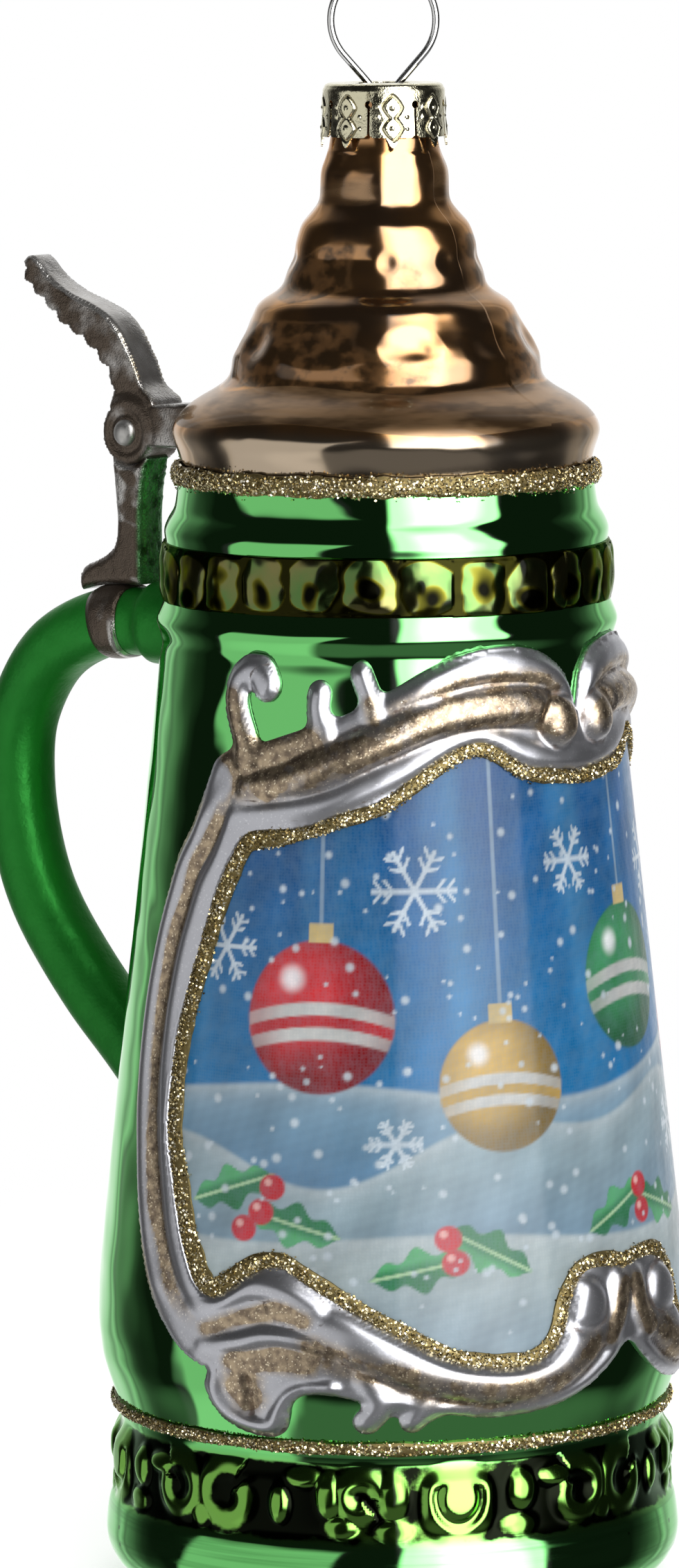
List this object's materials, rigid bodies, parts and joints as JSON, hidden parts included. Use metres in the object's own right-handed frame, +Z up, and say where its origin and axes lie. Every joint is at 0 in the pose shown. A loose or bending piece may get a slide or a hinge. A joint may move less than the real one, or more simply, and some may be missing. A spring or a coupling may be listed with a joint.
{
  "type": "beer stein ornament",
  "caption": "Hanging tree ornament shaped as a lidded beer stein: silvered green glass with a scroll frame round a picture, a handle, a thumb lift, a crown cap and a wire loop.",
  "frame": {"origin": "centre of the flat base, on the stein's axis", "axes": "+Z up the stein's axis, -Y out of the middle of the picture, +Y towards the handle"},
  "size_m": [0.0584, 0.0803, 0.1525],
  "materials": {
    "green_glass": "blown glass, silvered inside, transparent green lacquer outside, mirror gloss",
    "copper_glass": "blown glass, silvered inside, copper-brown lacquer with dark brown in the recesses",
    "patina_glass": "moulded glass beads, green lacquer with a dark brown wash",
    "silver_paint": "moulded glass relief under satin silver paint, bronze in the grooves",
    "picture_print": "printed film under clear lacquer",
    "gold_glitter": "gold glitter flakes in clear glue",
    "green_paint": "satin green paint",
    "antique_metal": "antique silver with brown patina",
    "rivet_metal": "worn silver",
    "cap_gold": "stamped sheet metal, pale champagne gold",
    "hanger_wire": "bright spring wire"
  },
  "bodies": {
    "stein": {"stein_body": "green_glass", "stein_lid": "copper_glass", "bead_band": "patina_glass", "scroll_frame": "silver_paint", "picture_panel": "picture_print", "picture_glitter": "gold_glitter", "lid_glitter": "gold_glitter", "foot_glitter": "gold_glitter", "handle": "green_paint", "handle_band": "antique_metal", "hinge_post": "antique_metal", "thumb_lift": "antique_metal", "hinge_rivet": "rivet_metal"},
    "cap": {"cap": "cap_gold"},
    "hanger": {"hanger": "hanger_wire"}
  },
  "joints": [
    {"name": "cap_lift", "type": "slide", "parent": "stein", "child": "cap", "axis": [0, 0, 1], "range_m": [0, 0.03]},
    {"name": "hanger_swivel", "type": "hinge", "parent": "cap", "child": "hanger", "pos_m": [0, 0, 0.1414], "axis": [0, 0, 1], "continuous": true}
  ]
}
